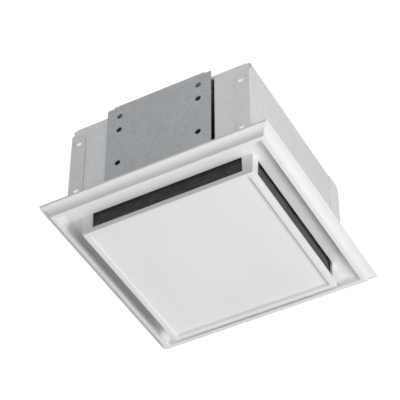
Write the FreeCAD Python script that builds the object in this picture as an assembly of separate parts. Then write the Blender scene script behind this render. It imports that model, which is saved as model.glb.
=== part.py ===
import FreeCAD, Part
import math
import os

from FreeCAD import Vector

# Recirculating bathroom extractor fan for a ceiling, as it hangs when fitted.
# Millimetres.  Z = 0 is the ceiling face that the grille's lip lies against and +Z runs up into
# the void.  The origin is the centre of the grille.  The joist side of the housing faces -Y.

# ---------------------------------------------------------------- grille sizes
LIP = 118.0                         # half side of the grille's square outer lip
LIP_EDGE = 2.2                      # thickness of the lip at its edge
COVE_R, COVE_FOOT = 7.8, -10.0      # concave moulding under the lip, and where it ends
RIM_Z, RIM_WIDTH = -10.7, 4.5       # lowest face of the rim, and the width of its flat
RIM_LEAN = 0.9                      # lean of the rim's inner side
EDGE = 0.4                          # small chamfer on moulded edges
FLOOR_Z = -2.8                      # visible face of the channel round the hanging box
FLOOR_INSET = 18.0                  # where the channel's rounded outer side meets its floor
BOX_INSET, BOX_DRAFT = 29.2, 1.0    # box wall at the floor, and how far it leans in by its foot
BOX_Z = -24.8                       # lowest face of the box
BORDER = 5.0                        # frame round the recessed panel
PANEL_Z, PANEL_BEVEL = -21.6, 0.8   # face of the recessed panel, and the lean of its edge
SKIN = 2.0                          # moulded wall thickness
SLOT_HALF, SLOT_Z = 77.8, -19.3     # air slots: half length and lower edge
CORNER_R = 1.8                      # rounding of the lip's four corners
LUG_X = LIP - BOX_INSET + 0.3       # inner face of the lugs that hold the filter wires

FILTER_TOP, FILTER_GAP = 4.0, 0.3
WIRE_ROD_R, WIRE_ROD_Z, WIRE_ROD_Y = 0.8, FILTER_TOP + 0.8, (-42.0, 42.0)

SPRING_X, SPRING_Z, WIRE_R = 92.3, 5.5, 0.65
COIL_R, COIL_TURNS = 3.3, 3
LEG_FOOT, LEG_TIP = (3.3, 8.0), (33.0, 84.0)   # (y, z) of each spring leg's ends
LEG_SLOT = 7.0                      # half length of the slot both legs pass up through

# ---------------------------------------------------------------- housing sizes
SHEET = 0.8                         # galvanised sheet
LAP = 0.05                          # gap between lapped sheets
HOUSE_X = 95.4                      # half width over the side walls
FRONT_Y, BACK_Y = -103.4, 88.0      # outer faces of the front (joist side) and back walls
HOUSE_TOP, HOUSE_FOOT = 101.7, 0.5
EAR_Y = -105.4                      # outer face of the nailing ears
EAR_EDGE, EAR_TOP, EAR_BEVEL = 80.0, 92.0, 6.0   # inner edge, top and bevelled top corner
EAR_SLIT_Z, EAR_SLIT_X = (81.0, 82.4), 91.0      # relief cut at each ear's fold
NAIL_X, NAIL_Z = 86.8, (16.8, 78.8)
NAIL_LENGTH, NAIL_R = 5.8, 1.9      # nail slots, end to end, and half their width
WINDOW_X, WINDOW_Z = 56.8, (12.0, 98.0)
WINDOW_TAPER = (2.6, 2.9)           # gap right of the plate at the window's top and foot

PLATE_Y, PLATE_T, PLATE_X = -105.8, 1.2, 55.8
PLATE_SHOULDER, PLATE_TOP, PLATE_TONGUE = 108.0, 111.0, 48.5
PLATE_RETURN, PLATE_BEND = 12.0, 2.0
PLATE_HOLE_X, PLATE_HOLE_Z, PLATE_HOLE_R = 42.4, (32.6, 76.8, 95.1), 3.1

SCREW_R, HEAD_R, HEAD_H = 1.9, 3.8, 2.2
CLEAR = 0.1                         # radial clearance round screws
RECESS_R, RECESS_T = 2.3, 0.9       # reach and width of the cross cut in a screw's head

# ---------------------------------------------------------------- fan plate and wheel sizes
AXIS_Y = -7.0                       # motor and impeller axis
FAN_PLATE_Z = 14.0
INLET_R = 40.0
RETURN_X, RETURN_W = 70.0, 15.0     # half length and width of the two air return openings
RETURN_Y = (BACK_Y - 22, FRONT_Y + 22)         # inner edge of each return opening
SKIRT_LAP = 14.0                    # how far the skirts run on past the openings
PLATE_SCREW_Y, PLATE_SCREW_Z = (-70.0, 55.0), FAN_PLATE_Z + 6
BRACKET_SCREW_X, BRACKET_SCREW_Y = 81.0, (AXIS_Y - 17, AXIS_Y + 17)
BRACKET_T, BRACKET_HALF_Y = 1.2, 25.0
WEB_Z, WEB_X = 54.0, 76.0           # top of the motor bracket and its half span
WHEEL_R, WHEEL_EYE_R = 64.0, 43.0
WHEEL_Z, WHEEL_T = (17.4, 47.0), 1.5
HUB_R, HUB_DEPTH = 8.0, 12.0
BLADES, BLADE_INNER_R, BLADE_SWEEP, BLADE_BOW, BLADE_THICK = 9, 31.0, 38.0, 4.5, 1.5

# ---------------------------------------------------------------- motor sizes
STACK_Z = (66.0, 86.0)              # motor laminations
SHAFT_R, RUN_FIT = 1.6, 0.04        # shaft and its radial clearance in the bearings
SHAFT_Z = (33.0, 97.5)
ROTOR_R, AIR_GAP, END_RING = 11.0, 0.35, 1.5
MOTOR_SCREW_X, MOTOR_SCREW_R = 25.0, 2.0
GROMMET_NECK_R, GROMMET_R, GROMMET_LIP = 4.2, 7.0, 1.4
BEARING_R, BEARING_Z = 5.0, ((56.5, 62.5), (89.5, 95.5))
BRIDGE_Z = ((57.0, 61.0), (91.0, 95.0))
CORE_X, CORE_Y, COIL_WINDOW_X = 30.0, (25.3, 36.7), 16.0
BOBBIN_FIT, BOBBIN_WALL, BOBBIN_X = 0.15, 0.9, 15.0
NUT_Z = (48.4, WEB_Z - BRACKET_T - GROMMET_LIP)

# ---------------------------------------------------------------- wiring sizes
BOX_WALL_X, BOX_WALL_Y, BOX_WALL_Z = -50.0, 45.0, 58.0   # wiring compartment
SOCKET_Y, SOCKET_Z = 67.0, 79.0
SOCKET_HALF_Y, SOCKET_HALF_Z = 11.8, 7.8
BLADE_Y, BLADE_T = 4.5, 1.5
GROUND_SCREW, COVER_SCREW = (-86.0, 52.0), (-70.0, 39.0)
KNOCKOUT_R, KNOCKOUT_GAP = 11.1, 0.15
KNOCKOUT_X, KNOCKOUT_Y = -72.0, 58.0   # one in the back wall, one in the side wall
LEAD_R = 1.1

UP = Vector(0, 0, 1)
EAST, NORTH = Vector(1, 0, 0), Vector(0, 1, 0)


# ---------------------------------------------------------------- helpers
def box(x0, x1, y0, y1, z0, z1):
    """Box from its lowest to its highest corner."""
    return Part.makeBox(x1 - x0, y1 - y0, z1 - z0, Vector(x0, y0, z0))


def rod(r, x, y, z0, z1):
    """Upright cylinder."""
    return Part.makeCylinder(r, z1 - z0, Vector(x, y, z0), UP)


def across(r, start, length, axis):
    """Cylinder lying along an axis."""
    return Part.makeCylinder(r, length, Vector(*start), axis)


def fuse(shapes):
    """One solid from several touching ones."""
    joined = shapes[0].multiFuse(shapes[1:]) if len(shapes) > 1 else shapes[0]
    return joined.removeSplitter()


def outline(points):
    """Closed wire; a point given as ('arc', middle, end) runs there in an arc."""
    edges, last = [], points[0]
    for step in points[1:] + [points[0]]:
        if step[0] == "arc":
            edges.append(Part.Arc(Vector(*last), Vector(*step[1]), Vector(*step[2])).toShape())
            last = step[2]
        else:
            edges.append(Part.LineSegment(Vector(*last), Vector(*step)).toShape())
            last = step
    return Part.Wire(edges)


def prism(points, direction):
    """Solid swept from a closed outline along a vector."""
    return Part.Face(outline(points)).extrude(direction)


def mirrored(shape, normal=EAST):
    """The shape reflected in a plane through the origin."""
    return shape.mirror(Vector(0, 0, 0), normal)


def pair(shape, normal=EAST):
    """The shape and its mirror image, kept as two solids."""
    return [shape, mirrored(shape, normal)]


def hexagon(across_flats, x, y, z0, z1):
    """Upright hexagonal prism."""
    r = across_flats / math.sqrt(3)
    corners = [(x + r * math.cos(math.radians(60 * i)), y + r * math.sin(math.radians(60 * i)), z0)
               for i in range(6)]
    return prism(corners, Vector(0, 0, z1 - z0))


def screw(shank, shank_r=SCREW_R, head_r=HEAD_R, head_h=HEAD_H):
    """Cross-recessed screw: the head stands on the origin and the shank runs down from it."""
    head = rod(head_r, 0, 0, 0, head_h)
    rounded = [e for e in head.Edges if e.isClosed() and e.Vertexes[0].Z > head_h - 0.1]
    head = head.makeFillet(0.6, rounded)
    half_t = RECESS_T / 2
    recess = [box(-RECESS_R, RECESS_R, -half_t, half_t, head_h - 1.2, head_h + 1),
              box(-half_t, half_t, -RECESS_R, RECESS_R, head_h - 1.2, head_h + 1)]
    return fuse([head, rod(shank_r, 0, 0, -shank, 0)]).cut(recess)


def placed(shape, x, y, z, axis=UP, angle=0):
    """A copy turned about an axis through the origin and then moved."""
    copy = shape.copy()
    copy.rotate(Vector(0, 0, 0), axis, angle)
    copy.translate(Vector(x, y, z))
    return copy


def tube(points, r):
    """Round tube along straight runs joined by tangent arcs."""
    pts = [Vector(*p) for p in points]
    edges, last = [], pts[0]
    for before, here, after in zip(pts, pts[1:], pts[2:]):
        a, b = (before - here), (after - here)
        turn = math.pi - a.getAngle(b)
        trim = 0.45 * min(a.Length, b.Length)
        start, end = here + a.normalize() * trim, here + b.normalize() * trim
        bisector = (a + b).normalize()
        radius = trim / math.tan(turn / 2)
        centre = here + bisector * (radius / math.cos(turn / 2))
        middle = centre - bisector * radius
        edges += [Part.LineSegment(last, start).toShape(), Part.Arc(start, middle, end).toShape()]
        last = end
    edges.append(Part.LineSegment(last, pts[-1]).toShape())
    path = Part.Wire(edges)
    circle = Part.Wire(Part.makeCircle(r, pts[0], pts[1] - pts[0]))
    return path.makePipeShell([circle], True, True)


# ---------------------------------------------------------------- grille
def mitred(profile):
    """Sweep a profile of (inset from the lip's edge, z) round the square with mitred corners."""
    def at(point):
        inset, z = point
        return (LIP - inset, 0, z)

    reach = 2 * LIP
    steps = [("arc", at(s[1]), at(s[2])) if s[0] == "arc" else at(s) for s in profile]
    side = prism(steps, Vector(0, 2 * reach, 0))
    side.translate(Vector(0, -reach, 0))
    wedge = prism([(0, 0, 50), (reach, -reach, 50), (reach, reach, 50)], Vector(0, 0, -LIP))
    side = side.common(wedge)
    sides = []
    for quarter in range(4):
        one = side.copy()
        one.rotate(Vector(0, 0, 0), UP, 90 * quarter)
        sides.append(one)
    return fuse(sides)


def quarters(shape):
    """The shape on each of the grille's four sides."""
    turned = shape.copy()
    turned.rotate(Vector(0, 0, 0), UP, 90)
    return pair(shape) + pair(turned, NORTH)


def grille_frame():
    """Lip, cove, rim and channel floor."""
    half = COVE_R * math.sqrt(0.5)
    rim_in = COVE_R + RIM_WIDTH
    turn_r = FLOOR_INSET - rim_in - RIM_LEAN
    turn = turn_r * (1 - math.sqrt(0.5))
    profile = [
        (0.0, 0.0), (0.0, -LIP_EDGE + EDGE), (EDGE, -LIP_EDGE),
        ("arc", (half, COVE_FOOT + half), (COVE_R, COVE_FOOT)),
        (COVE_R, RIM_Z + EDGE), (COVE_R + EDGE, RIM_Z),
        (rim_in - EDGE, RIM_Z), (rim_in, RIM_Z + EDGE),
        (rim_in + RIM_LEAN, FLOOR_Z - turn_r),
        ("arc", (rim_in + RIM_LEAN + turn, FLOOR_Z - turn), (FLOOR_INSET, FLOOR_Z)),
        (BOX_INSET + SKIN, FLOOR_Z), (BOX_INSET + SKIN, FLOOR_Z + SKIN),
        (13.5, FLOOR_Z + SKIN), (11.0, -6.0), (9.6, -6.0), (5.0, 0.0),
    ]
    return mitred(profile)


def grille_box():
    """Hanging box: four walls, the border and the recessed panel."""
    foot = BOX_INSET + BOX_DRAFT
    edge = 0.5
    inner = foot + BORDER + PANEL_BEVEL
    profile = [
        (BOX_INSET, FLOOR_Z), (foot, BOX_Z + edge), (foot + edge, BOX_Z), (foot + BORDER, BOX_Z),
        (inner, PANEL_Z), (inner + 4, PANEL_Z), (inner + 4, PANEL_Z + SKIN),
        (inner - SKIN, PANEL_Z + SKIN), (foot + BORDER - SKIN, BOX_Z + SKIN),
        (foot + SKIN, BOX_Z + SKIN), (BOX_INSET + SKIN, FLOOR_Z),
    ]
    half = LIP - inner - 2
    panel = box(-half, half, -half, half, PANEL_Z, PANEL_Z + SKIN)
    return fuse([mitred(profile), panel])


def spring_post():
    """Moulded post with a pin that carries one grille spring."""
    post_x = SPRING_X - 2.1
    plate = box(post_x - 1.2, post_x, -4.5, 4.5, FLOOR_Z + SKIN, SPRING_Z + 4)
    pin = across(COIL_R - WIRE_R - 0.25, (post_x, 0, SPRING_Z), 4.0, EAST)
    return fuse([plate, pin])


def wire_lug(y):
    """Moulded lug that holds one end of a filter wire."""
    lug = box(LUG_X, LUG_X + 2, y - 3, y + 3, FLOOR_Z + SKIN, WIRE_ROD_Z + 2.2)
    return lug.cut(across(WIRE_ROD_R + 0.05, (LUG_X - 1, y, WIRE_ROD_Z), 4, EAST))


def make_grille():
    """The whole white moulding, with an air slot in each of its box's four walls."""
    lugs = [lug for y in WIRE_ROD_Y for lug in pair(wire_lug(y))]
    body = fuse([grille_frame(), grille_box()] + pair(spring_post()) + lugs)
    wall = LIP - BOX_INSET
    depth = SKIN + BOX_DRAFT + 2
    slot = box(wall - depth, wall, -SLOT_HALF, SLOT_HALF, SLOT_Z, FLOOR_Z + SKIN + 1)
    outside = box(-LIP, LIP, -LIP, LIP, -30, 30)
    upright = [e for e in outside.Edges if abs(e.tangentAt(e.FirstParameter).z) > 0.9]
    return body.cut(quarters(slot)).common(outside.makeFillet(CORNER_R, upright))


# ---------------------------------------------------------------- filter
def make_charcoal_filter():
    half = LIP - BOX_INSET - BOX_DRAFT - SKIN - FILTER_GAP
    return box(-half, half, -half, half, PANEL_Z + SKIN + 0.05, FILTER_TOP)


def make_filter_wires():
    end = LUG_X + 1.7
    return [across(WIRE_ROD_R, (-end, y, WIRE_ROD_Z), 2 * end, EAST) for y in WIRE_ROD_Y]


# ---------------------------------------------------------------- grille springs
def spring_leg(side):
    """Leg of one spring, from inside its coil to an outward hook."""
    foot_y, foot_z = LEG_FOOT
    tip_y, tip_z = LEG_TIP
    route = [(COIL_R, SPRING_Z), (foot_y, foot_z), (tip_y, tip_z), (tip_y + 5, tip_z - 6)]
    return tube([(SPRING_X, side * y, z) for y, z in route], WIRE_R)


def make_grille_springs():
    length = COIL_TURNS * 2 * WIRE_R
    start = (SPRING_X - length / 2, 0, SPRING_Z)
    coil = across(COIL_R + WIRE_R, start, length, EAST)
    coil = coil.cut(across(COIL_R - WIRE_R, start, length, EAST))
    spring = fuse([coil, spring_leg(1), spring_leg(-1)])
    return pair(spring)


# ---------------------------------------------------------------- housing
def nail_slots(y0, y1, grow=0.0):
    """Four obround slots through the joist side."""
    r = NAIL_R + grow
    run = NAIL_LENGTH / 2 - NAIL_R
    slots = []
    for z in NAIL_Z:
        ends = [across(r, (NAIL_X + s * run, y0, z), y1 - y0, NORTH) for s in (-1, 1)]
        middle = box(NAIL_X - run, NAIL_X + run, y0, y1, z - r, z + r)
        slots += pair(fuse(ends + [middle]))
    return slots


def make_housing_shell():
    """Top and two side walls folded from one sheet, each wall ending in a nailing ear."""
    inner_x = HOUSE_X - SHEET
    top = box(-HOUSE_X, HOUSE_X, FRONT_Y + 1, BACK_Y - SHEET, HOUSE_TOP - SHEET, HOUSE_TOP)
    wall = box(inner_x, HOUSE_X, EAR_Y, BACK_Y - SHEET, HOUSE_FOOT, HOUSE_TOP)
    relief = box(inner_x - 1, HOUSE_X + 1, EAR_Y - 1, FRONT_Y + 1, EAR_TOP, HOUSE_TOP + 1)
    corner = box(inner_x - 1, HOUSE_X + 1, FRONT_Y - 1, FRONT_Y + 4.5, HOUSE_TOP - 4.2, HOUSE_TOP - 0.2)
    ear = prism([(EAR_EDGE, EAR_Y, HOUSE_FOOT), (EAR_EDGE, EAR_Y, EAR_TOP - EAR_BEVEL),
                 (EAR_EDGE + EAR_BEVEL, EAR_Y, EAR_TOP), (inner_x, EAR_Y, EAR_TOP),
                 (inner_x, EAR_Y, HOUSE_FOOT)], NORTH * SHEET)
    slit = box(EAR_SLIT_X, HOUSE_X + 1, EAR_Y - 1, EAR_Y + SHEET, *EAR_SLIT_Z)
    shell = fuse([top] + pair(wall.cut([relief, corner])) + pair(ear)).cut(pair(slit))
    holes = nail_slots(EAR_Y - 1, EAR_Y + SHEET + 0.5)
    holes.append(across(KNOCKOUT_R + KNOCKOUT_GAP, (-HOUSE_X - 1, KNOCKOUT_Y, SOCKET_Z), 3, EAST))
    holes += [rod(SCREW_R + CLEAR, x, y, HOUSE_TOP - 2, HOUSE_TOP + 1)
              for x, y in (GROUND_SCREW, COVER_SCREW)]
    holes += [across(SCREW_R + CLEAR, (-HOUSE_X - 1, y, PLATE_SCREW_Z), 2 * HOUSE_X + 2, EAST)
              for y in PLATE_SCREW_Y]
    return shell.cut(holes)


def make_housing_front_wall():
    """Joist-side wall, open behind the mounting plate, with a flange under the top."""
    x = HOUSE_X - SHEET - LAP
    low, high = WINDOW_Z
    flange_y = (FRONT_Y + SHEET, FRONT_Y + 11)
    wall = box(-x, x, FRONT_Y, FRONT_Y + SHEET, HOUSE_FOOT, HOUSE_TOP)
    flange = box(-x + 8, x - 8, *flange_y, HOUSE_TOP - 2 * SHEET, HOUSE_TOP - SHEET)
    notch = box(-x + 8, x - 8, FRONT_Y + 1, flange_y[1], HOUSE_TOP - SHEET, HOUSE_TOP + 1)
    shoulder = box(x - 3, x + 1, FRONT_Y - 1, FRONT_Y + 2, HOUSE_TOP - 1.6, HOUSE_TOP + 1)
    right_top, right_low = (PLATE_X + gap for gap in WINDOW_TAPER)
    window = prism([(-WINDOW_X, FRONT_Y - 1, low), (-WINDOW_X, FRONT_Y - 1, high),
                    (right_top, FRONT_Y - 1, high), (right_low, FRONT_Y - 1, low)], NORTH * 3)
    wall = fuse([wall, flange]).cut([notch, window] + pair(shoulder))
    return wall.cut(nail_slots(FRONT_Y - 1, FRONT_Y + 2, 0.4))


def make_housing_back_wall():
    """Back wall with flanges that lap over the side walls."""
    out_x = HOUSE_X + LAP + SHEET
    wall = box(-out_x, out_x, BACK_Y - SHEET, BACK_Y, HOUSE_FOOT, HOUSE_TOP)
    lap = box(HOUSE_X + LAP, out_x, BACK_Y - 20, BACK_Y, HOUSE_FOOT, HOUSE_TOP)
    corner = prism([(HOUSE_X - 1, BACK_Y + 1, HOUSE_TOP + 1), (HOUSE_X - 1, BACK_Y - 4, HOUSE_TOP + 1),
                    (HOUSE_X - 1, BACK_Y + 1, HOUSE_TOP - 8)], Vector(4, 0, 0))
    flange = box(-80, 80, BACK_Y - 11, BACK_Y - SHEET, HOUSE_TOP - 2 * SHEET, HOUSE_TOP - SHEET)
    notch = box(-80, 80, BACK_Y - 11, BACK_Y - SHEET, HOUSE_TOP - SHEET, HOUSE_TOP + 1)
    hole = across(KNOCKOUT_R + KNOCKOUT_GAP, (KNOCKOUT_X, BACK_Y - 2, SOCKET_Z), 4, NORTH)
    body = fuse([wall, flange] + pair(lap))
    return body.cut([notch, hole] + pair(corner))


def make_seal_tapes():
    """Foam tape between each ear and the front wall, cut away beside the ear's slit."""
    y0, y1 = EAR_Y + SHEET, FRONT_Y
    tape = box(EAR_EDGE + 2, HOUSE_X - SHEET - 0.6, y0, y1, HOUSE_FOOT + 2, EAR_TOP - EAR_BEVEL - 1)
    beside = box(EAR_SLIT_X - 0.8, HOUSE_X, y0 - 1, y1 + 1, EAR_SLIT_Z[0] - 1.5, EAR_SLIT_Z[1] + 1.5)
    return pair(tape.cut(beside))


def make_joist_plate():
    """Six-hole plate that stands off the front wall, its top tongue bent back."""
    y0, y1 = PLATE_Y, PLATE_Y + PLATE_T
    left, bend, top, under = -PLATE_TONGUE, PLATE_BEND, PLATE_TOP, PLATE_TOP - PLATE_T
    outer_turn = bend * (1 - math.sqrt(0.5))
    inner_turn = (bend - PLATE_T) * (1 - math.sqrt(0.5))
    sheet = box(-PLATE_X, PLATE_X, y0, y1, HOUSE_FOOT, PLATE_SHOULDER)
    tongue = prism([
        (left, y0, PLATE_SHOULDER - 1), (left, y0, top - bend),
        ("arc", (left, y0 + outer_turn, top - outer_turn), (left, y0 + bend, top)),
        (left, y0 + PLATE_RETURN, top), (left, y0 + PLATE_RETURN, under), (left, y0 + bend, under),
        ("arc", (left, y1 + inner_turn, under - inner_turn), (left, y1, top - bend)),
        (left, y1, PLATE_SHOULDER - 1),
    ], Vector(2 * PLATE_TONGUE, 0, 0))
    holes = [across(PLATE_HOLE_R, (s * PLATE_HOLE_X, y0 - 1, z), 4, NORTH)
             for s in (-1, 1) for z in PLATE_HOLE_Z]
    return fuse([sheet, tongue]).cut(holes)


def make_plate_spacers():
    """Welded pads that hold the plate off the front wall."""
    y0 = PLATE_Y + PLATE_T
    return [across(2.2, (x, y0, z), FRONT_Y - y0, NORTH) for x in (-30, 30)
            for z in (WINDOW_Z[0] - 6, HOUSE_TOP - 3)]


def make_knockouts():
    """Punched slugs for the supply cable, one in the side and one in the back."""
    side = across(KNOCKOUT_R, (-HOUSE_X, KNOCKOUT_Y, SOCKET_Z), SHEET, EAST)
    back = across(KNOCKOUT_R, (KNOCKOUT_X, BACK_Y - SHEET, SOCKET_Z), SHEET, NORTH)
    return [side, back]


# ---------------------------------------------------------------- fan plate and bracket
def make_fan_plate():
    """Panel under the impeller: inlet ring, two return openings with skirts, screw flanges."""
    z0, z1 = FAN_PLATE_Z, FAN_PLATE_Z + SHEET
    x, y0, y1 = HOUSE_X - SHEET - 0.2, FRONT_Y + SHEET + 0.4, BACK_Y - SHEET - 0.4
    sheet = box(-x, x, y0, y1, z0, z1)
    flange = box(x - SHEET, x, y0 + 6, y1 - 6, z1, z1 + 10)
    skirts = []
    openings = []
    for inner, outer in ((RETURN_Y[0], RETURN_Y[0] + RETURN_W), (RETURN_Y[1], RETURN_Y[1] - RETURN_W)):
        near, far = min(inner, outer), max(inner, outer)
        openings.append(box(-RETURN_X, RETURN_X, near, far, z0 - 1, z1 + 1))
        skirt_y = inner - SHEET if outer > inner else inner
        skirt_x = RETURN_X + SKIRT_LAP
        skirts.append(box(-skirt_x, skirt_x, skirt_y, skirt_y + SHEET, FILTER_TOP + 0.8, z0))
    ring_profile = [
        (INLET_R, AXIS_Y, z1 + 3),
        ("arc", (INLET_R + 1.2, AXIS_Y, z1 + 0.4), (INLET_R + 4, AXIS_Y, z0)),
        (INLET_R + 6, AXIS_Y, z0), (INLET_R + 6, AXIS_Y, z1), (INLET_R + 4, AXIS_Y, z1),
        ("arc", (INLET_R + 1.8, AXIS_Y, z1 + 1.1), (INLET_R + 1.0, AXIS_Y, z1 + 3)),
    ]
    ring = Part.Face(outline(ring_profile)).revolve(Vector(0, AXIS_Y, 0), UP, 360)
    hole = rod(INLET_R + 5.5, 0, AXIS_Y, z0 - 1, z1 + 1)
    leg_slot = box(SPRING_X - 1.5, SPRING_X + 1.5, -LEG_SLOT, LEG_SLOT, z0 - 1, z1 + 1)
    screws = [rod(SCREW_R + CLEAR, s * BRACKET_SCREW_X, y, z0 - 1, z1 + 1)
              for s in (-1, 1) for y in BRACKET_SCREW_Y]
    sides = [across(SCREW_R + CLEAR, (-x - 1, y, PLATE_SCREW_Z), 2 * x + 2, EAST)
             for y in PLATE_SCREW_Y]
    body = fuse([sheet] + pair(flange) + skirts)
    body = body.cut([hole] + openings + pair(leg_slot) + screws + sides)
    return fuse([body, ring])


def make_fan_plate_screws():
    """Four screws, driven from inside through the fan plate's flanges into the side walls."""
    seat = HOUSE_X - SHEET - 0.2 - SHEET
    one = screw(HOUSE_X - seat)
    return [solid for y in PLATE_SCREW_Y
            for solid in pair(placed(one, seat, y, PLATE_SCREW_Z, NORTH, -90))]


def make_motor_bracket():
    """Strap over the impeller that carries the motor."""
    t = BRACKET_T
    y0, y1 = AXIS_Y - BRACKET_HALF_Y, AXIS_Y + BRACKET_HALF_Y
    foot_z = FAN_PLATE_Z + SHEET
    web = box(-WEB_X, WEB_X, y0, y1, WEB_Z - t, WEB_Z)
    leg = box(WEB_X - t, WEB_X, y0, y1, foot_z, WEB_Z)
    foot = box(WEB_X, WEB_X + 10, y0, y1, foot_z, foot_z + t)
    window = box(WEB_X - t - 1, WEB_X + 1, y0 + 8, y1 - 8, foot_z + 8, WEB_Z - 8)
    holes = [rod(GROMMET_NECK_R, s * MOTOR_SCREW_X, AXIS_Y, WEB_Z - 3, WEB_Z + 1) for s in (-1, 1)]
    holes += [rod(SCREW_R + CLEAR, s * BRACKET_SCREW_X, y, foot_z - 1, foot_z + 3)
              for s in (-1, 1) for y in BRACKET_SCREW_Y]
    holes.append(rod(9.5, 0, AXIS_Y, WEB_Z - 3, WEB_Z + 1))
    return fuse([web] + pair(leg) + pair(foot)).cut(holes + pair(window))


def make_bracket_screws():
    """Four screws through the bracket's feet and the fan plate."""
    seat = FAN_PLATE_Z + SHEET + BRACKET_T
    one = screw(seat - FAN_PLATE_Z + 4)
    return [placed(one, s * BRACKET_SCREW_X, y, seat) for s in (-1, 1) for y in BRACKET_SCREW_Y]


# ---------------------------------------------------------------- motor
def make_motor_grommets():
    """Rubber grommets that isolate the motor from the bracket's web."""
    z0, z1 = WEB_Z - BRACKET_T, WEB_Z
    grommets = []
    for x in (-MOTOR_SCREW_X, MOTOR_SCREW_X):
        body = fuse([rod(GROMMET_R, x, AXIS_Y, z0 - GROMMET_LIP, z0),
                     rod(GROMMET_NECK_R, x, AXIS_Y, z0, z1),
                     rod(GROMMET_R, x, AXIS_Y, z1, BRIDGE_Z[0][0])])
        grommets.append(body.cut(rod(MOTOR_SCREW_R + CLEAR, x, AXIS_Y, z0 - 5, z1 + 8)))
    return grommets


def make_stator_core():
    """Laminated C-frame: pole block round the rotor and a core for the coil."""
    z0, z1 = STACK_Z
    block = box(-CORE_X, CORE_X, AXIS_Y - 24, CORE_Y[1], z0, z1)
    window = box(-COIL_WINDOW_X, COIL_WINDOW_X, 13, CORE_Y[0], z0 - 1, z1 + 1)
    bore = rod(ROTOR_R + AIR_GAP, 0, AXIS_Y, z0 - 1, z1 + 1)
    gap = box(-1.2, 1.2, AXIS_Y + ROTOR_R + 5, 14, z0 - 1, z1 + 1)
    screws = [rod(MOTOR_SCREW_R + CLEAR, s * MOTOR_SCREW_X, AXIS_Y, z0 - 1, z1 + 1) for s in (-1, 1)]
    corner = box(CORE_X - 6, CORE_X + 6, AXIS_Y - 30, AXIS_Y - 18, z0 - 1, z1 + 1)
    return block.cut([window, bore, gap] + screws + pair(corner))


def make_coil_bobbin():
    """Spool round the core's long arm."""
    z0, z1 = STACK_Z
    y0, y1 = CORE_Y
    skin = BOBBIN_FIT + BOBBIN_WALL
    grow = skin + 9.6
    spool = box(-BOBBIN_X, BOBBIN_X, y0 - skin, y1 + skin, z0 - skin, z1 + skin)
    flange = box(BOBBIN_X - 1.1, BOBBIN_X, y0 - grow, y1 + grow, z0 - grow, z1 + grow)
    hollow = box(-BOBBIN_X - 1, BOBBIN_X + 1, y0 - BOBBIN_FIT, y1 + BOBBIN_FIT,
                 z0 - BOBBIN_FIT, z1 + BOBBIN_FIT)
    return fuse([spool] + pair(flange)).cut(hollow)


def make_coil_winding():
    """The wound wire, as one block with rounded corners."""
    z0, z1 = STACK_Z
    y0, y1 = CORE_Y
    inner = BOBBIN_FIT + BOBBIN_WALL + 0.02
    grow = inner + 8.8
    x = BOBBIN_X - 1.2
    body = box(-x, x, y0 - grow, y1 + grow, z0 - grow, z1 + grow)
    long_edges = [e for e in body.Edges if abs(e.tangentAt(e.FirstParameter).x) > 0.9]
    body = body.makeFillet(4.5, long_edges)
    return body.cut(box(-x - 1, x + 1, y0 - inner, y1 + inner, z0 - inner, z1 + inner))


def make_rotor():
    """Squirrel-cage rotor with an end ring at each face."""
    z0, z1 = STACK_Z
    ring_r = ROTOR_R - 0.6
    rings = [rod(ring_r, 0, AXIS_Y, z0 - END_RING, z0), rod(ring_r, 0, AXIS_Y, z1, z1 + END_RING)]
    body = fuse([rod(ROTOR_R, 0, AXIS_Y, z0, z1)] + rings)
    return body.cut(rod(SHAFT_R, 0, AXIS_Y, z0 - 3, z1 + 3))


def make_motor_shaft():
    """Shaft with a small chamfer at each end."""
    shaft = rod(SHAFT_R, 0, AXIS_Y, *SHAFT_Z)
    return shaft.makeChamfer(0.3, [e for e in shaft.Edges if e.isClosed()])


def make_shaft_washers():
    """Thrust washers between the rotor and the two bearings."""
    gaps = ((BEARING_Z[0][1] + 0.2, STACK_Z[0] - END_RING),
            (STACK_Z[1] + END_RING, BEARING_Z[1][0] - 0.2))
    return [rod(3.4, 0, AXIS_Y, a, b).cut(rod(SHAFT_R, 0, AXIS_Y, a - 1, b + 1)) for a, b in gaps]


def make_bearing(level):
    """Sintered sleeve pressed into one of the bridges."""
    z0, z1 = BEARING_Z[level]
    return rod(BEARING_R, 0, AXIS_Y, z0, z1).cut(rod(SHAFT_R + RUN_FIT, 0, AXIS_Y, z0 - 1, z1 + 1))


def make_bridge(level):
    """Cross bar that holds one bearing and is clamped to the laminations by its feet."""
    z0, z1 = BRIDGE_Z[level]
    b0, b1 = BEARING_Z[level]
    near = STACK_Z[level]
    bar = box(-MOTOR_SCREW_X, MOTOR_SCREW_X, AXIS_Y - 5, AXIS_Y + 5, z0, z1)
    boss = rod(BEARING_R + 2.5, 0, AXIS_Y, b0, b1)
    ends = [rod(5, s * MOTOR_SCREW_X, AXIS_Y, min(z0, near), max(z1, near)) for s in (-1, 1)]
    holes = [rod(MOTOR_SCREW_R + CLEAR, s * MOTOR_SCREW_X, AXIS_Y, 40, 110) for s in (-1, 1)]
    return fuse([bar, boss] + ends).cut(holes + [rod(BEARING_R, 0, AXIS_Y, b0 - 1, b1 + 1)])


def make_motor_screws():
    """Two long screws that clamp bridges, laminations and grommets to the bracket."""
    seat = BRIDGE_Z[1][1]
    one = screw(seat - NUT_Z[0] + 0.2, MOTOR_SCREW_R, 3.6, 2.4)
    return pair(placed(one, MOTOR_SCREW_X, AXIS_Y, seat))


def make_motor_nuts():
    nut = hexagon(7.0, MOTOR_SCREW_X, AXIS_Y, *NUT_Z)
    return pair(nut.cut(rod(MOTOR_SCREW_R, MOTOR_SCREW_X, AXIS_Y, 40, 60)))


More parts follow.
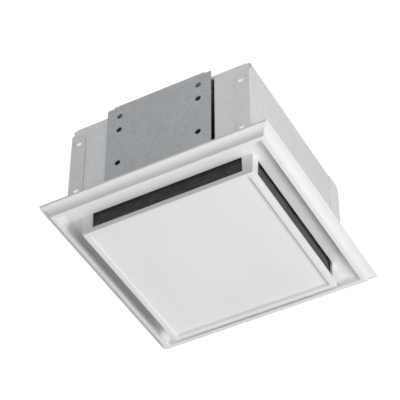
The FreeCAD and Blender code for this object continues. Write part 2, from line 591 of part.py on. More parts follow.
# ---------------------------------------------------------------- impeller
def blade():
    """One backward-curved blade between the shroud and the back plate."""
    z0, z1 = WHEEL_Z
    outer = WHEEL_R - 1.0
    sweep = math.radians(BLADE_SWEEP)
    bow = Vector(math.sin(sweep / 2), -math.cos(sweep / 2), 0) * BLADE_BOW
    start = Vector(BLADE_INNER_R, 0, z0 + 1)
    end = Vector(outer * math.cos(sweep), outer * math.sin(sweep), z0 + 1)
    middle = (start + end) * 0.5 + bow
    chord = end - start
    side = Vector(-chord.y, chord.x, 0).normalize() * BLADE_THICK
    face = outline([tuple(start), ("arc", tuple(middle), tuple(end)), tuple(end + side),
                    ("arc", tuple(middle + side), tuple(start + side))])
    return Part.Face(face).extrude(Vector(0, 0, z1 - z0 - 2))


def make_impeller():
    """Back plate with its hub, nine blades and a shroud with the eye."""
    z0, z1 = WHEEL_Z
    plate = rod(WHEEL_R, 0, 0, z1 - WHEEL_T, z1)
    hub = rod(HUB_R, 0, 0, z1 - HUB_DEPTH, z1 + 2)
    shroud = rod(WHEEL_R, 0, 0, z0, z0 + WHEEL_T).cut(rod(WHEEL_EYE_R, 0, 0, z0 - 1, z0 + 3))
    blades = [placed(blade(), 0, 0, 0, UP, 360.0 * i / BLADES) for i in range(BLADES)]
    wheel = fuse([plate, hub, shroud] + blades).cut(rod(SHAFT_R, 0, 0, z1 - 20, z1 + 5))
    return placed(wheel, 0, AXIS_Y, 0)


def make_impeller_clip():
    """Split spring ring on the shaft below the hub."""
    z1 = WHEEL_Z[1] - HUB_DEPTH
    ring = rod(4.2, 0, AXIS_Y, z1 - 1.6, z1).cut(rod(SHAFT_R, 0, AXIS_Y, z1 - 3, z1 + 1))
    return ring.cut(box(0.5, 6, AXIS_Y - 0.8, AXIS_Y + 0.8, z1 - 2, z1 + 1))


# ---------------------------------------------------------------- wiring
def make_wiring_cover():
    """Folded cover that closes off one corner of the housing for the supply wires."""
    x, y, z = BOX_WALL_X, BOX_WALL_Y, BOX_WALL_Z
    side_x, back_y = -HOUSE_X + SHEET + 0.2, BACK_Y - SHEET - 0.2
    top = HOUSE_TOP - 2 * SHEET - 0.1
    half_y, half_z = SOCKET_HALF_Y + 0.1, SOCKET_HALF_Z + 0.1
    face = box(x - SHEET, x, y, back_y, z, top)
    floor = box(side_x, x, y, back_y, z, z + SHEET)
    front = box(side_x, x, y, y + SHEET, z, top)
    tab = box(COVER_SCREW[0] - 7, COVER_SCREW[0] + 7, y - 11, y + SHEET, top - SHEET, top)
    opening = box(x - 3, x + 1, SOCKET_Y - half_y, SOCKET_Y + half_y,
                  SOCKET_Z - half_z, SOCKET_Z + half_z)
    hole = rod(SCREW_R + CLEAR, *COVER_SCREW, top - 3, top + 2)
    return fuse([face, floor, front, tab]).cut([opening, hole])


def make_wiring_cover_screw():
    """Screw up through the cover's tab and the housing's top."""
    seat = HOUSE_TOP - 3 * SHEET - 0.1
    return placed(screw(HOUSE_TOP + 3 - seat), *COVER_SCREW, seat, EAST, 180)


def make_ground_screw():
    """Hexagon screw for the earth wire."""
    under = HOUSE_TOP - SHEET
    head = hexagon(7.5, *GROUND_SCREW, under - 3, under)
    notch = box(GROUND_SCREW[0] - 2.6, GROUND_SCREW[0] + 2.6,
                GROUND_SCREW[1] - 0.5, GROUND_SCREW[1] + 0.5, under - 4, under - 1.8)
    return fuse([rod(SCREW_R, *GROUND_SCREW, under - 1, HOUSE_TOP + 3), head]).cut(notch)


def blade_slots(grow):
    """Boxes for the plug's two blades, or, grown, for the holes they enter."""
    x0, x1 = BOX_WALL_X - 9.5 - grow, BOX_WALL_X + 2.0
    half_t, half_z = BLADE_T / 2 + grow, 3.2 + grow
    return [box(x0, x1, SOCKET_Y + dy - half_t, SOCKET_Y + dy + half_t,
                SOCKET_Z - half_z, SOCKET_Z + half_z) for dy in (-BLADE_Y, BLADE_Y)]


def make_motor_receptacle():
    """Flanged socket in the cover's face."""
    x = BOX_WALL_X
    body = box(x - 16, x, SOCKET_Y - SOCKET_HALF_Y, SOCKET_Y + SOCKET_HALF_Y,
               SOCKET_Z - SOCKET_HALF_Z, SOCKET_Z + SOCKET_HALF_Z)
    flange = box(x, x + 1.6, SOCKET_Y - 14, SOCKET_Y + 14, SOCKET_Z - 10, SOCKET_Z + 10)
    return fuse([body, flange]).cut(blade_slots(0.3))


def make_motor_plug():
    """Plug body with rounded long edges and finger ribs."""
    x0, x1 = BOX_WALL_X + 1.7, BOX_WALL_X + 16
    body = box(x0, x1, SOCKET_Y - 9.5, SOCKET_Y + 9.5, SOCKET_Z - 7, SOCKET_Z + 7)
    long_edges = [e for e in body.Edges if abs(e.tangentAt(e.FirstParameter).x) > 0.9]
    body = body.makeFillet(2.0, long_edges)
    grooves = [box(x, x + 1.2, SOCKET_Y - 10, SOCKET_Y + 10, z, z + 1.2)
               for x in (x0 + 5, x0 + 8, x0 + 11) for z in (SOCKET_Z - 7.6, SOCKET_Z + 6.4)]
    return body.cut(blade_slots(0.0) + grooves)


def make_plug_blades():
    """Two flat blades that reach from the plug into the socket."""
    return blade_slots(0.0)


def make_motor_leads():
    """Two leads from the coil's bobbin to the plug."""
    x_plug, x_coil = BOX_WALL_X + 16, -BOBBIN_X
    leads = []
    for dy, dz in ((-3.5, 0.0), (3.5, 3.0)):
        y, z, high = SOCKET_Y + dy, SOCKET_Z, SOCKET_Z + 9 + dz
        leads.append(tube([(x_plug, y, z), (x_plug + 8, y, z), (x_plug + 12, y - 11, z + 5 + dz),
                           (x_plug + 11, 43 + dy, high), (x_coil, 43 + dy, high)], LEAD_R))
    return leads


# ---------------------------------------------------------------- export
NODES = {
    "housing_shell": make_housing_shell,
    "housing_front_wall": make_housing_front_wall,
    "housing_back_wall": make_housing_back_wall,
    "seal_tapes": make_seal_tapes,
    "joist_plate": make_joist_plate,
    "plate_spacers": make_plate_spacers,
    "knockouts": make_knockouts,
    "fan_plate": make_fan_plate,
    "fan_plate_screws": make_fan_plate_screws,
    "motor_bracket": make_motor_bracket,
    "bracket_screws": make_bracket_screws,
    "motor_grommets": make_motor_grommets,
    "stator_core": make_stator_core,
    "coil_bobbin": make_coil_bobbin,
    "coil_winding": make_coil_winding,
    "rotor": make_rotor,
    "motor_shaft": make_motor_shaft,
    "shaft_washers": make_shaft_washers,
    "lower_bearing": lambda: make_bearing(0),
    "upper_bearing": lambda: make_bearing(1),
    "lower_bridge": lambda: make_bridge(0),
    "upper_bridge": lambda: make_bridge(1),
    "motor_screws": make_motor_screws,
    "motor_nuts": make_motor_nuts,
    "impeller": make_impeller,
    "impeller_clip": make_impeller_clip,
    "wiring_cover": make_wiring_cover,
    "wiring_cover_screw": make_wiring_cover_screw,
    "ground_screw": make_ground_screw,
    "motor_receptacle": make_motor_receptacle,
    "motor_plug": make_motor_plug,
    "plug_blades": make_plug_blades,
    "motor_leads": make_motor_leads,
    "grille": make_grille,
    "charcoal_filter": make_charcoal_filter,
    "filter_wires": make_filter_wires,
    "grille_springs": make_grille_springs,
}

os.makedirs("parts", exist_ok=True)
for name, make in NODES.items():
    made = make()
    shape = Part.makeCompound(made) if isinstance(made, list) else made
    solids = shape.Solids
    bad = [s for s in solids if not s.isValid() or not s.isClosed()]
    print(f"{name}: {len(solids)} solid(s), {sum(s.Volume for s in solids) / 1000:.2f} cm3"
          + (f", {len(bad)} INVALID" if bad else ""))
    shape.exportStep(f"parts/{name}.step")
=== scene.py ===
import math

import bmesh
import bpy
from mathutils import Matrix, Vector, noise


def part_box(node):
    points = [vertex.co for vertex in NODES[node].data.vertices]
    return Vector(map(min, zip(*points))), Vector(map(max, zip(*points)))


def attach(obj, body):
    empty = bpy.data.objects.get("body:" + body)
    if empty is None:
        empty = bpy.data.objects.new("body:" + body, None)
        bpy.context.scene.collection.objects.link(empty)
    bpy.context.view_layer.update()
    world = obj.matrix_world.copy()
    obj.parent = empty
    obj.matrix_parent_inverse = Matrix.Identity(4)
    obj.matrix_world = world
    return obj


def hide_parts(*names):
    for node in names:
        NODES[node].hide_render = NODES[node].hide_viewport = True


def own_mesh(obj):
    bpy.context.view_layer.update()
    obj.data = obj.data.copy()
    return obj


# Looks of the ceiling extractor fan.  Metres, in the frame of the CAD part: Z = 0 is the ceiling
# face, +Z runs up into the void and the joist side faces -Y.

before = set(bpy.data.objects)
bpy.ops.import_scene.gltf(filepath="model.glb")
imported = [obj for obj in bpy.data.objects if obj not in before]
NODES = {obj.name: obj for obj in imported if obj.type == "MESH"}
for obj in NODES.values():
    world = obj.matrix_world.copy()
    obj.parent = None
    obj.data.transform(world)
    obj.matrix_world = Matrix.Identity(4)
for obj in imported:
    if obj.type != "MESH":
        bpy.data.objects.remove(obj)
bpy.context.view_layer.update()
MM = 0.001

# ---------------------------------------------------------------- camera
AZIMUTH, ELEVATION, ROLL = 28.557, -43.761, 0.160   # degrees; the fan is seen from below
DISTANCE = 1.568072
AIM = (-0.011033, 0.039439)        # how far the view's centre lies right of and above the origin
LENS, SENSOR = 149.45, 36.0


def make_camera():
    """Camera on a sphere round the origin, shifted sideways in its own plane."""
    az, el, roll = (math.radians(v) for v in (AZIMUTH, ELEVATION, ROLL))
    back = Vector((math.sin(az) * math.cos(el), -math.cos(az) * math.cos(el), math.sin(el)))
    level = (-back).cross(Vector((0, 0, 1))).normalized()
    upright = level.cross(-back)
    right = math.cos(roll) * level + math.sin(roll) * upright
    up = -math.sin(roll) * level + math.cos(roll) * upright
    data = bpy.data.cameras.new("camera")
    data.sensor_width = SENSOR
    data.lens = LENS
    data.clip_start, data.clip_end = 0.05, 60.0
    camera = bpy.data.objects.new("camera", data)
    place = back * DISTANCE + right * AIM[0] + up * AIM[1]
    camera.matrix_world = Matrix.Translation(place) @ Matrix((right, up, back)).transposed().to_4x4()
    bpy.context.scene.collection.objects.link(camera)
    bpy.context.scene.camera = camera


# ---------------------------------------------------------------- light, world and floor
LIGHTS = (                          # name, place, width and power; all aim at the grille's middle
    ("key", (1.24, 0.0, -0.99), 0.8, 14.3),
    ("near_key", (0.89, -0.89, -0.97), 0.8, 3.7),
    ("front", (0.0, -1.58, -0.26), 1.2, 1.8),
    ("under_left", (-1.13, 0.0, -1.11), 0.8, 3.8),
    ("high_side", (1.52, 0.0, 0.51), 0.8, 4.2),
    ("high_front", (0.0, -1.31, 0.94), 0.8, 2.4),
)
LIGHT_TARGET = Vector((0, 0, 0.02))
BACKDROP = 1.05                     # brightness of the white the camera sees behind the fan
OVERHEAD = 0.765                    # ambient light at the zenith, fading to none at the horizon
OVERHEAD_TINT = (0.98, 0.99, 1.0, 1)
FLOOR_Z, FLOOR_HALF = -2.7, 9.0


def area_light(name, place, size, power):
    """Round soft light aimed at the fan."""
    data = bpy.data.lights.new(name, "AREA")
    data.shape = "DISK"
    data.size = size
    data.energy = power
    light = bpy.data.objects.new(name, data)
    light.location = place
    light.rotation_euler = (LIGHT_TARGET - Vector(place)).to_track_quat("-Z", "Y").to_euler()
    bpy.context.scene.collection.objects.link(light)


def set_range(made, start, end, low, high):
    """Set a map range node to turn start..end into low..high."""
    for key, number in zip(("From Min", "From Max", "To Min", "To Max"), (start, end, low, high)):
        made.inputs[key].default_value = number


def make_world():
    """White to the camera; to everything else an ambient light that comes from overhead."""
    world = bpy.data.worlds.new("studio")
    world.use_nodes = True
    tree = world.node_tree
    tree.nodes.clear()
    seen = tree.nodes.new("ShaderNodeBackground")
    seen.inputs["Color"].default_value = (1, 1, 1, 1)
    seen.inputs["Strength"].default_value = BACKDROP
    lit = tree.nodes.new("ShaderNodeBackground")
    lit.inputs["Color"].default_value = OVERHEAD_TINT
    aim = tree.nodes.new("ShaderNodeTexCoord")
    split = tree.nodes.new("ShaderNodeSeparateXYZ")
    fade = tree.nodes.new("ShaderNodeMapRange")
    set_range(fade, 0.0, 1.0, 0.0, OVERHEAD)
    tree.links.new(aim.outputs["Generated"], split.inputs[0])
    tree.links.new(split.outputs["Z"], fade.inputs["Value"])
    tree.links.new(fade.outputs["Result"], lit.inputs["Strength"])
    path = tree.nodes.new("ShaderNodeLightPath")
    mix = tree.nodes.new("ShaderNodeMixShader")
    out = tree.nodes.new("ShaderNodeOutputWorld")
    tree.links.new(path.outputs["Is Camera Ray"], mix.inputs["Fac"])
    tree.links.new(lit.outputs[0], mix.inputs[1])
    tree.links.new(seen.outputs[0], mix.inputs[2])
    tree.links.new(mix.outputs[0], out.inputs["Surface"])
    bpy.context.scene.world = world


def make_studio():
    """World, lights and a plain pale floor."""
    bpy.context.scene.view_settings.view_transform = "Standard"
    make_world()
    for light in LIGHTS:
        area_light(*light)
    bm = bmesh.new()
    bmesh.ops.create_grid(bm, x_segments=8, y_segments=8, size=FLOOR_HALF)
    floor = to_object("floor", bm)
    floor.location = (0, 0, FLOOR_Z)
    floor.data.materials.append(plain_floor())


# ---------------------------------------------------------------- material helpers
class Look:
    """A Principled material with a few shorthands for procedural detail."""

    def __init__(self, name, colour, roughness, metallic=0.0, specular=0.5):
        self.material = bpy.data.materials.new(name)
        self.material.use_nodes = True
        self.tree = self.material.node_tree
        self.shader = self.tree.nodes["Principled BSDF"]
        self.shader.inputs["Base Color"].default_value = (*colour, 1)
        self.shader.inputs["Roughness"].default_value = roughness
        self.shader.inputs["Metallic"].default_value = metallic
        self.shader.inputs["Specular IOR Level"].default_value = specular
        self.place = self.tree.nodes.new("ShaderNodeTexCoord").outputs["Object"]

    def node(self, kind, **inputs):
        """New node; each input is set to a number or linked to a socket."""
        made = self.tree.nodes.new(kind)
        for key, value in inputs.items():
            socket = made.inputs[key.replace("_", " ")]
            if isinstance(value, bpy.types.NodeSocket):
                self.tree.links.new(value, socket)
            else:
                socket.default_value = value
        return made

    def mapped(self, scale=(1, 1, 1), turn=(0, 0, 0)):
        """Object coordinates, scaled and turned by degrees."""
        angles = tuple(math.radians(a) for a in turn)
        return self.node("ShaderNodeMapping", Vector=self.place, Scale=scale, Rotation=angles).outputs[0]

    def noise(self, scale, detail=3.0, rough=0.55, at=None):
        made = self.node("ShaderNodeTexNoise", Vector=at or self.place, Scale=scale,
                         Detail=detail, Roughness=rough)
        return made.outputs["Fac"]

    def cells(self, scale, at=None):
        """A random grey for each cell, and the distance from the cell's middle."""
        made = self.node("ShaderNodeTexVoronoi", Vector=at or self.place, Scale=scale)
        split = self.node("ShaderNodeSeparateColor", Color=made.outputs["Color"])
        return split.outputs[0], made.outputs["Distance"]

    def bands(self, pitch, direction, distortion=0.0):
        """Grooves at a given pitch along an axis."""
        made = self.node("ShaderNodeTexWave", Vector=self.place, Scale=2 * math.pi / 20 / pitch,
                         Distortion=distortion)
        made.bands_direction = direction
        return made.outputs["Fac"]

    def ramp(self, value, *stops):
        """Colours at given positions, blended in between."""
        made = self.node("ShaderNodeValToRGB", Fac=value)
        elements = made.color_ramp.elements
        while len(elements) < len(stops):
            elements.new(0.5)
        for element, (at, colour) in zip(elements, stops):
            element.position = at
            element.color = (*colour, 1) if hasattr(colour, "__len__") else (colour,) * 3 + (1,)
        return made.outputs["Color"]

    def span(self, value, low, high, start=0.0, end=1.0):
        """Turn start..end into low..high."""
        made = self.node("ShaderNodeMapRange", Value=value)
        set_range(made, start, end, low, high)
        return made.outputs["Result"]

    def mix(self, share, one, two):
        """Blend two colours."""
        made = self.node("ShaderNodeMix")
        made.data_type = "RGBA"
        for socket, value in zip((made.inputs[0], made.inputs[6], made.inputs[7]), (share, one, two)):
            if isinstance(value, bpy.types.NodeSocket):
                self.tree.links.new(value, socket)
            else:
                socket.default_value = (*value, 1) if hasattr(value, "__len__") else value
        return made.outputs[2]

    def sum(self, one, two, share=1.0):
        """one + two * share."""
        made = self.node("ShaderNodeMath")
        made.operation = "MULTIPLY_ADD"
        for socket, value in zip(made.inputs, (two, share, one)):
            if isinstance(value, bpy.types.NodeSocket):
                self.tree.links.new(value, socket)
            else:
                socket.default_value = value
        return made.outputs[0]

    def colour(self, value):
        self.tree.links.new(value, self.shader.inputs["Base Color"])

    def roughness(self, value):
        self.tree.links.new(value, self.shader.inputs["Roughness"])

    def bump(self, height, distance, strength=1.0):
        made = self.node("ShaderNodeBump", Height=height, Distance=distance, Strength=strength)
        self.tree.links.new(made.outputs[0], self.shader.inputs["Normal"])


def shades(colour, *factors):
    """The colour times each factor, never above white."""
    return [tuple(min(1.0, c * f) for c in colour) for f in factors]


# ---------------------------------------------------------------- materials
def plain_floor():
    """Pale backdrop with a hardly visible cloudiness."""
    look = Look("floor", (0.80, 0.80, 0.79), 0.8)
    look.colour(look.ramp(look.noise(0.8), (0.3, (0.78, 0.78, 0.77)), (0.7, (0.82, 0.82, 0.81))))
    return look.material


def white_plastic():
    """White moulding: very fine spark-eroded grain with faint flow marks."""
    tone = (0.795, 0.795, 0.793)
    look = Look("white_plastic", tone, 0.5, specular=0.35)
    dark, pale = shades(tone, 0.975, 1.015)
    cloud = look.noise(14, 2, at=look.mapped((1.0, 0.45, 1.0)))
    look.colour(look.ramp(cloud, (0.35, dark), (0.65, pale)))
    grain = look.noise(1500, 3, 0.6)
    look.roughness(look.span(look.noise(160, 3), 0.46, 0.60, 0.3, 0.7))
    look.bump(grain, 0.00006, 0.6)
    return look.material


def galvanised(name, tone, contrast, crystal=0.007):
    """Zinc-coated sheet with its spangle: flat crystals of slightly different greys."""
    look = Look(name, tone, 0.5, 0.35)
    near = look.mapped((1.0, 1.0, 1.0), (11, 23, 7))
    jitter = look.node("ShaderNodeTexNoise", Vector=near, Scale=0.9 / crystal, Detail=2.0)
    warp = look.node("ShaderNodeVectorMath")
    warp.operation = "MULTIPLY_ADD"
    look.tree.links.new(jitter.outputs["Color"], warp.inputs[0])
    warp.inputs[1].default_value = (crystal * 1.3,) * 3
    look.tree.links.new(near, warp.inputs[2])
    big, _ = look.cells(1 / crystal, warp.outputs[0])
    small, edge = look.cells(2.9 / crystal, warp.outputs[0])
    shade = look.sum(look.span(big, 0, 0.6), look.span(small, 0, 0.4))
    shade = look.sum(shade, look.noise(55, 4, at=look.mapped((1.0, 1.0, 0.15))), 0.6)
    low, middle, high = shades(tone, 1 - contrast, 1, 1 + contrast)
    look.colour(look.ramp(look.span(shade, 0, 1, 0.35, 1.25), (0.0, low), (0.5, middle), (1.0, high)))
    look.roughness(look.span(small, 0.42, 0.56))
    look.bump(look.sum(look.noise(1100, 2), edge, 0.2 / crystal), 0.000008, 0.4)
    return look.material


def plated_steel(name, tone=(0.60, 0.60, 0.57), rough=0.32):
    """Zinc-plated hardware with fine turning marks."""
    look = Look(name, tone, rough, 0.9)
    dark, pale = shades(tone, 0.82, 1.08)
    look.colour(look.ramp(look.noise(420, 4), (0.3, dark), (0.7, pale)))
    look.roughness(look.span(look.noise(900, 3), rough - 0.08, rough + 0.14, 0.3, 0.7))
    look.bump(look.noise(1800, 2), 0.00003, 0.7)
    return look.material


def laminations():
    """Edges of stacked sheets under brown varnish."""
    tone = (0.16, 0.155, 0.15)
    look = Look("laminations", tone, 0.5, 0.45)
    dark, pale = shades(tone, 0.55, 1.6)
    layers = look.bands(0.00055, "Z", 0.4)
    stain = look.noise(120, 4)
    look.colour(look.mix(look.span(stain, 0.0, 0.5, 0.4, 0.7), look.ramp(layers, (0.1, dark), (0.9, pale)),
                         (0.12, 0.075, 0.045)))
    look.roughness(look.span(stain, 0.35, 0.65, 0.3, 0.7))
    look.bump(layers, 0.00008, 0.8)
    return look.material


def rotor_steel():
    """Turned laminated rotor."""
    tone = (0.36, 0.36, 0.36)
    look = Look("rotor_steel", tone, 0.34, 0.9)
    dark, pale = shades(tone, 0.7, 1.2)
    look.colour(look.ramp(look.noise(500, 3, at=look.mapped((1, 1, 6))), (0.3, dark), (0.7, pale)))
    look.bump(look.bands(0.0004, "Z"), 0.00003, 0.6)
    return look.material


def copper_turns():
    """Enamelled wire, wound side by side along the core, with painted shade between the turns and a
    painted highlight on each.
    """
    tone = (0.50, 0.19, 0.075)
    look = Look("copper_turns", tone, 0.3, 0.75)
    # painted shade in the grooves between turns and a painted highlight along each turn's crown
    dark, pale = shades(tone, 0.45, 1.15)
    turns = look.bands(0.00045, "X", 0.35)
    look.colour(look.ramp(turns, (0.05, dark), (0.6, tone), (1.0, pale)))
    look.roughness(look.span(look.noise(300, 3), 0.22, 0.4, 0.3, 0.7))
    look.shader.inputs["Coat Weight"].default_value = 0.4
    look.shader.inputs["Coat Roughness"].default_value = 0.2
    look.bump(turns, 0.00018, 0.9)
    return look.material


def moulded(name, tone, rough=0.45):
    """Small mouldings of plastic or rubber."""
    look = Look(name, tone, rough)
    dark, pale = shades(tone, 0.86, 1.12)
    look.colour(look.ramp(look.noise(45, 3), (0.3, dark), (0.7, pale)))
    look.roughness(look.span(look.noise(240, 3), rough - 0.08, rough + 0.1, 0.3, 0.7))
    look.bump(look.noise(1700, 3), 0.00005, 0.8)
    return look.material


def foam_tape():
    """White closed-cell foam: small cut bubbles, and a painted glow that stands in for light so that it
    reads in the slots.
    """
    tone = (0.96, 0.96, 0.95)
    look = Look("foam_tape", tone, 0.85)
    # painted light: the emission makes the tape glow as if brightly lit, though it sits in shaded slots
    look.shader.inputs["Emission Color"].default_value = (1.0, 1.0, 1.0, 1.0)
    look.shader.inputs["Emission Strength"].default_value = 0.35
    _, hollow = look.cells(1900)
    dark, pale = shades(tone, 0.9, 1.03)
    look.colour(look.ramp(hollow, (0.1, pale), (0.8, dark)))
    look.bump(hollow, 0.00015, 0.8)
    return look.material


def sintered_bronze():
    """Porous bearing bronze."""
    tone = (0.46, 0.29, 0.12)
    look = Look("sintered_bronze", tone, 0.42, 0.85)
    pores, _ = look.cells(2600)
    dark, pale = shades(tone, 0.6, 1.15)
    look.colour(look.ramp(pores, (0.1, dark), (0.5, pale)))
    look.bump(pores, 0.00004, 0.6)
    return look.material


def cast_metal():
    """Die-cast bearing bridges."""
    tone = (0.55, 0.56, 0.57)
    look = Look("cast_metal", tone, 0.48, 0.8)
    dark, pale = shades(tone, 0.82, 1.08)
    look.colour(look.ramp(look.noise(200, 4), (0.3, dark), (0.7, pale)))
    look.roughness(look.span(look.noise(600, 3), 0.4, 0.62, 0.3, 0.7))
    look.bump(look.noise(1100, 3), 0.00008, 0.8)
    return look.material


def green_plating():
    """Green earth screw."""
    tone = (0.05, 0.25, 0.09)
    look = Look("green_plating", tone, 0.35, 0.6)
    dark, pale = shades(tone, 0.6, 1.3)
    look.colour(look.ramp(look.noise(500, 3), (0.3, dark), (0.7, pale)))
    look.bump(look.noise(1500, 2), 0.00004, 0.6)
    return look.material


def charcoal_fibre():
    """Needled fibre dusted with carbon: fine strands running slantwise over a black ground."""
    look = Look("charcoal_fibre", (0.035, 0.031, 0.035), 0.9, specular=0.25)
    one = look.noise(900, 4, 0.6, at=look.mapped((0.10, 1.0, 1.0), (0, 32, 38)))
    two = look.noise(1100, 4, 0.6, at=look.mapped((1.0, 0.12, 1.0), (28, 0, 20)))
    strands = look.sum(look.span(one, 0, 1, 0.46, 0.66), look.span(two, 0, 1, 0.50, 0.70), 0.8)
    clump = look.noise(170, 4, 0.6)
    shade = look.sum(look.span(strands, 0, 0.75, 0, 1.4), look.span(clump, 0, 0.45, 0.35, 0.7), 1.0)
    look.colour(look.ramp(shade, (0.0, (0.012, 0.010, 0.012)), (0.45, (0.034, 0.030, 0.035)),
                          (1.0, (0.10, 0.092, 0.10))))
    look.shader.inputs["Sheen Weight"].default_value = 0.25
    look.shader.inputs["Sheen Roughness"].default_value = 0.6
    look.bump(look.sum(strands, clump, 0.8), 0.0006, 0.9)
    return look.material


def spring_wire():
    """Drawn steel wire."""
    tone = (0.42, 0.42, 0.42)
    look = Look("spring_wire", tone, 0.28, 0.95)
    dark, pale = shades(tone, 0.7, 1.25)
    look.colour(look.ramp(look.noise(700, 3, at=look.mapped((1, 1, 0.2))), (0.3, dark), (0.7, pale)))
    look.bump(look.noise(2500, 2), 0.00002, 0.7)
    return look.material


def paint(nodes, material):
    """Give CAD nodes one material."""
    for name in nodes:
        slots = NODES[name].material_slots
        if not slots:
            NODES[name].data.materials.append(material)
        for one in slots:
            one.material = material


def paint_cad():
    """Materials of every piece shown as the CAD has it."""
    paint(["housing_shell"], galvanised("sheet_shell", (0.79, 0.805, 0.80), 0.035))
    paint(["housing_back_wall", "housing_front_wall", "knockouts"],
          galvanised("sheet_walls", (0.84, 0.845, 0.855), 0.04))
    paint(["fan_plate", "wiring_cover", "motor_bracket"],
          galvanised("sheet_inner", (0.58, 0.59, 0.60), 0.09, 0.009))
    paint(["joist_plate", "plate_spacers"],
          galvanised("sheet_plate", (0.545, 0.565, 0.58), 0.09, 0.0035))
    paint(["fan_plate_screws", "bracket_screws", "motor_screws", "motor_nuts", "wiring_cover_screw"],
          plated_steel("plated_screws"))
    paint(["motor_shaft"], plated_steel("ground_shaft", (0.66, 0.66, 0.66), 0.2))
    paint(["impeller_clip"], plated_steel("clip_steel", (0.40, 0.40, 0.40), 0.3))
    paint(["filter_wires"], plated_steel("wire_rods", (0.52, 0.52, 0.50), 0.35))
    paint(["motor_grommets"], moulded("grommet_rubber", (0.022, 0.022, 0.023), 0.7))
    paint(["motor_leads"], moulded("lead_jacket", (0.02, 0.02, 0.022), 0.4))
    paint(["coil_bobbin", "shaft_washers"], moulded("natural_nylon", (0.72, 0.68, 0.58), 0.45))
    paint(["impeller"], moulded("black_polymer", (0.018, 0.018, 0.02), 0.38))
    paint(["motor_receptacle"], moulded("socket_black", (0.02, 0.02, 0.02), 0.5))
    paint(["motor_plug"], moulded("plug_white", (0.74, 0.74, 0.71), 0.4))
    paint(["plug_blades"], plated_steel("stamped_brass", (0.60, 0.42, 0.16), 0.3))
    paint(["lower_bearing", "upper_bearing"], sintered_bronze())
    paint(["lower_bridge", "upper_bridge"], cast_metal())
    paint(["stator_core"], laminations())
    paint(["rotor"], rotor_steel())
    paint(["coil_winding"], copper_turns())
    paint(["ground_screw"], green_plating())
    paint(["seal_tapes"], foam_tape())
    paint(["grille"], white_plastic())


# ---------------------------------------------------------------- new pieces
def to_object(name, bm, smooth=False):
    """Object made from a bmesh, which is freed."""
    mesh = bpy.data.meshes.new(name)
    bm.to_mesh(mesh)
    bm.free()
    made = bpy.data.objects.new(name, mesh)
    bpy.context.scene.collection.objects.link(made)
    for face in mesh.polygons:
        face.use_smooth = smooth
    return made


FILTER_STEPS = (64, 66, 10)         # divisions of the pad along x, y and z
FILTER_EDGE = 2.2 * MM              # radius of its edges
FILTER_INSET = 0.55 * MM            # keeps the tufts inside the pad's box
FILTER_TUFTS = ((190, 0.55 * MM), (520, 0.35 * MM))     # frequency and height
FILTER_SAG = (30, 0.35 * MM)


def divided_cube(steps):
    """Unit cube cut into a grid along each axis."""
    bm = bmesh.new()
    bmesh.ops.create_cube(bm, size=1.0)
    for axis, count in enumerate(steps):
        normal = Vector([1.0 if i == axis else 0.0 for i in range(3)])
        for i in range(1, count):
            plane = normal * (i / count - 0.5)
            bmesh.ops.bisect_plane(bm, geom=bm.verts[:] + bm.edges[:] + bm.faces[:],
                                   plane_co=plane, plane_no=normal)
    return bm


def make_filter():
    """Fibre pad: rounded ragged edges, matted tufts and faces that sag a little."""
    low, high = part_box("charcoal_filter")
    size = high - low
    half = size / 2
    bm = divided_cube(FILTER_STEPS)
    for v in bm.verts:
        p = Vector([v.co[i] * size[i] for i in range(3)])
        core = Vector([max(-half[i] + FILTER_EDGE, min(half[i] - FILTER_EDGE, p[i])) for i in range(3)])
        out = p - core
        if out.length > 1e-7:
            p = core + out.normalized() * FILTER_EDGE
        v.co = p
    bm.normal_update()
    for v in bm.verts:
        p = v.co.copy()
        tuft = sum(noise.noise(p * frequency) * height for frequency, height in FILTER_TUFTS)
        sag = FILTER_SAG[1] * noise.noise(Vector((p.x, p.y, 0)) * FILTER_SAG[0])
        v.co = p + v.normal * (tuft + sag - FILTER_INSET)
    pad = to_object("filter_pad", bm, True)
    pad.location = (low + high) / 2
    pad.data.materials.append(charcoal_fibre())
    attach(pad, "grille")
    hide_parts("charcoal_filter")


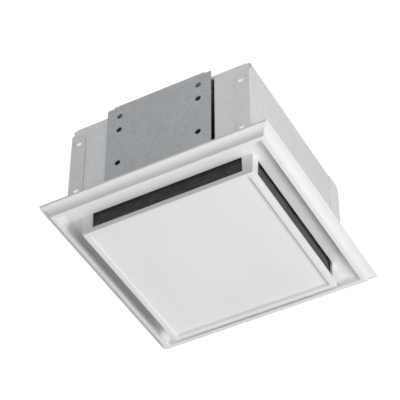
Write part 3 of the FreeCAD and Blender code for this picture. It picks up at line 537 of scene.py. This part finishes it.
def wire_mesh(name, runs, radius, material):
    """Round wires along smooth splines, as one mesh."""
    curve = bpy.data.curves.new(name + "_path", "CURVE")
    curve.dimensions = "3D"
    curve.bevel_depth = radius
    curve.bevel_resolution = 4
    curve.resolution_u = 6
    curve.use_fill_caps = True
    for points in runs:
        spline = curve.splines.new("NURBS")
        spline.points.add(len(points) - 1)
        for point, at in zip(spline.points, points):
            point.co = (*at, 1)
        spline.order_u = 4
        spline.use_endpoint_u = True
    source = bpy.data.objects.new(name + "_path", curve)
    bpy.context.scene.collection.objects.link(source)
    bpy.context.view_layer.update()
    posed = source.evaluated_get(bpy.context.evaluated_depsgraph_get())
    mesh = bpy.data.meshes.new_from_object(posed)
    bpy.data.objects.remove(source)
    made = bpy.data.objects.new(name, mesh)
    bpy.context.scene.collection.objects.link(made)
    mesh.materials.clear()
    mesh.materials.append(material)
    for face in mesh.polygons:
        face.use_smooth = True
    return made


SPRING_X, SPRING_Z = 92.3 * MM, 5.5 * MM        # middle of each coil, either side of x = 0
COIL_R, WIRE_R, COIL_TURNS = 3.3 * MM, 0.62 * MM, 3
TURN_STEPS = 24                     # points on one turn of the coil
LEG_PATH = (                        # (y, z) from above the coil's side to the hook's end
    (3.6, 9.0), (6.27, 15.6), (12.21, 30.8), (21.12, 53.6), (30.03, 76.4),
    (33.2, 84.3), (34.8, 82.8), (38.0, 78.0),
)


def coil_path(side):
    """Helix round one post's pin, along x."""
    pitch = 2 * WIRE_R * 0.98
    start = side * SPRING_X - COIL_TURNS * pitch / 2 + WIRE_R
    path = []
    for i in range(TURN_STEPS * (COIL_TURNS - 1) + TURN_STEPS // 2 + 1):
        angle = math.pi * 2 * i / TURN_STEPS
        path.append((start + pitch * angle / (2 * math.pi), COIL_R * math.cos(angle),
                     SPRING_Z + COIL_R * math.sin(angle)))
    return path


def leg_path(side, end, x):
    """One leg: it leaves the coil at x and comes to the spring's middle plane as it rises."""
    route = [(COIL_R, SPRING_Z), (COIL_R, SPRING_Z + 0.9 * MM)] + [(y * MM, z * MM) for y, z in LEG_PATH]
    return [(x + (side * SPRING_X - x) * min(1, k / 4), end * y, z) for k, (y, z) in enumerate(route)]


def make_springs():
    """Two V springs: a wound coil on each post and two long legs with hooked tips."""
    metal = spring_wire()
    coils, legs = [], []
    for side in (-1, 1):
        helix = coil_path(side)
        coils.append(helix)
        legs += [leg_path(side, -1, helix[-1][0]), leg_path(side, 1, helix[0][0])]
    coil_piece = wire_mesh("spring_coils", coils, WIRE_R, metal)
    leg_piece = wire_mesh("spring_legs", legs, WIRE_R, metal)
    for piece in (coil_piece, leg_piece):
        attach(piece, "grille")
    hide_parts("grille_springs")
    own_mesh(leg_piece)


make_camera()
make_studio()
paint_cad()
make_filter()
make_springs()
